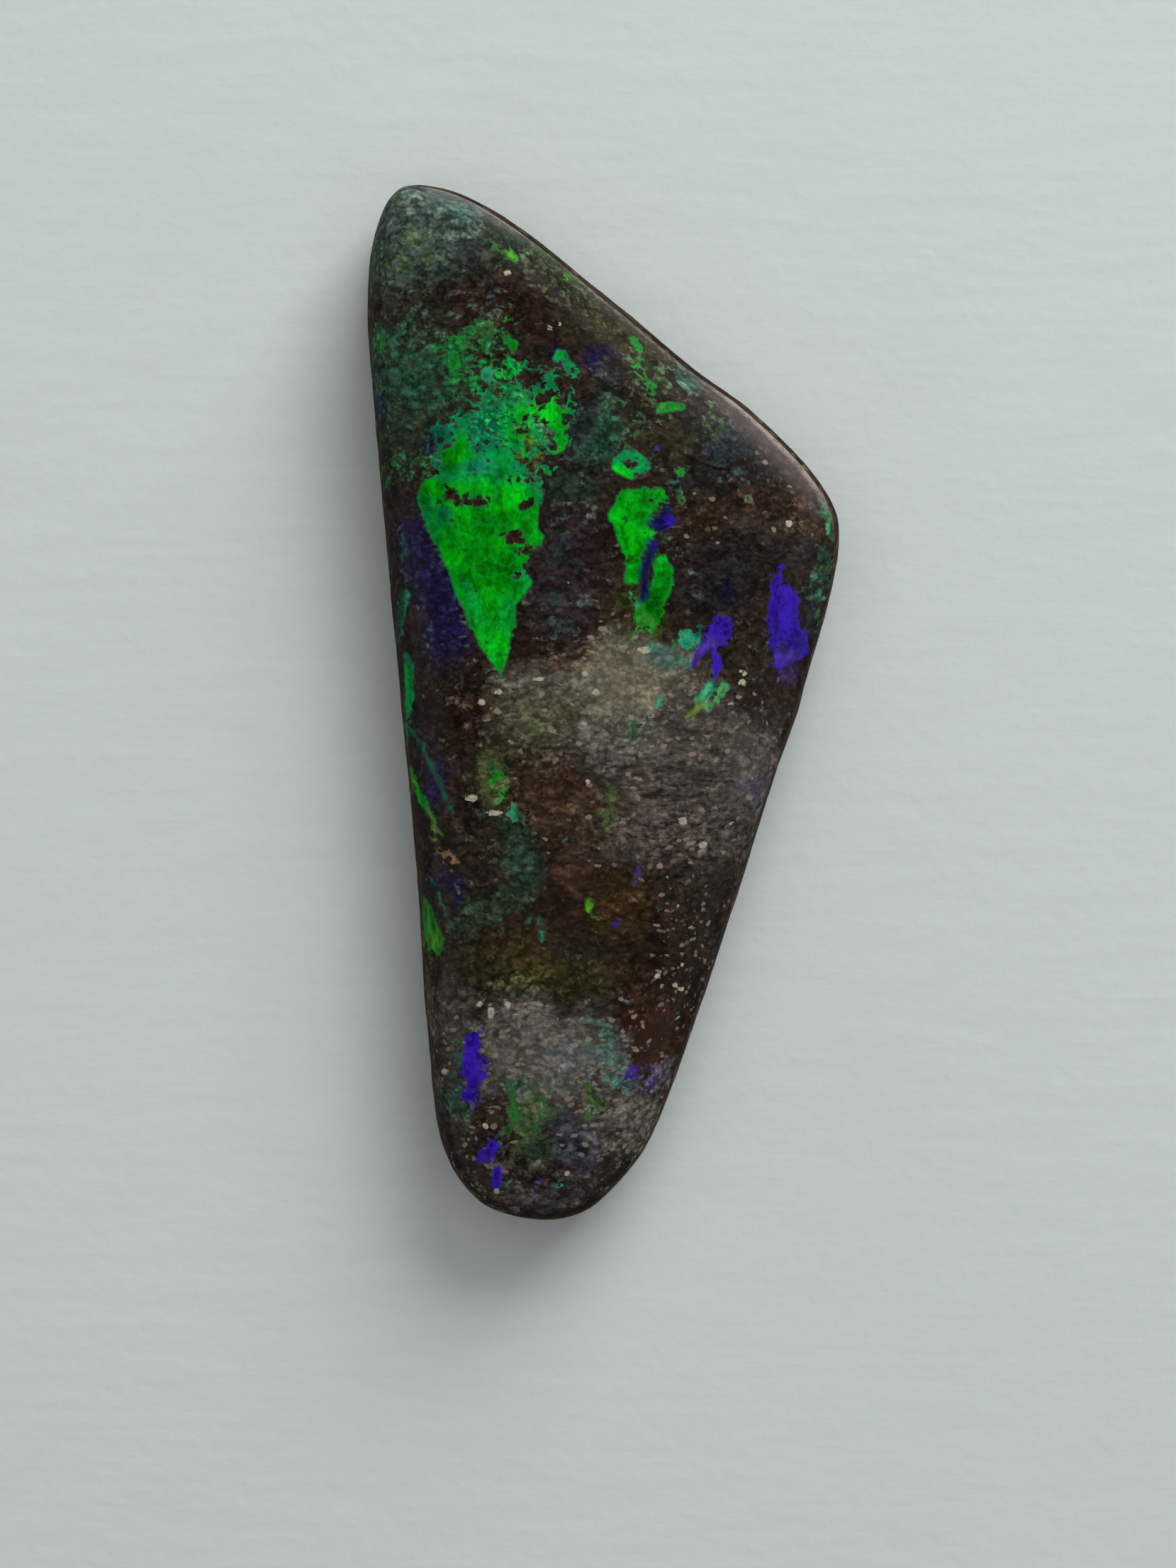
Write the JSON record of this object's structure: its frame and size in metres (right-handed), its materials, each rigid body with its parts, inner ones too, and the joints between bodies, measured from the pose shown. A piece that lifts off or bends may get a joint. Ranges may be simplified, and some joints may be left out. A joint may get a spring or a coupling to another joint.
{
  "type": "boulder opal cabochon",
  "caption": "Polished free-form boulder opal: long tapering outline, low domed face with green and violet flashes in dark ironstone, steep ground sides, flat sawn back.",
  "frame": {"origin": "on the resting plane, under the middle of the stone's box, with the flat sawn back at z = 0", "axes": "+Y along the stone's long way towards the slanted wide end, +Z up out of the polished face, +X to the right when the face is seen from above with +Y up"},
  "size_m": [0.0128, 0.028, 0.0046],
  "materials": {
    "opal_ironstone": "gloss"
  },
  "bodies": {
    "root": {"boulder_opal": "opal_ironstone"}
  },
  "joints": []
}
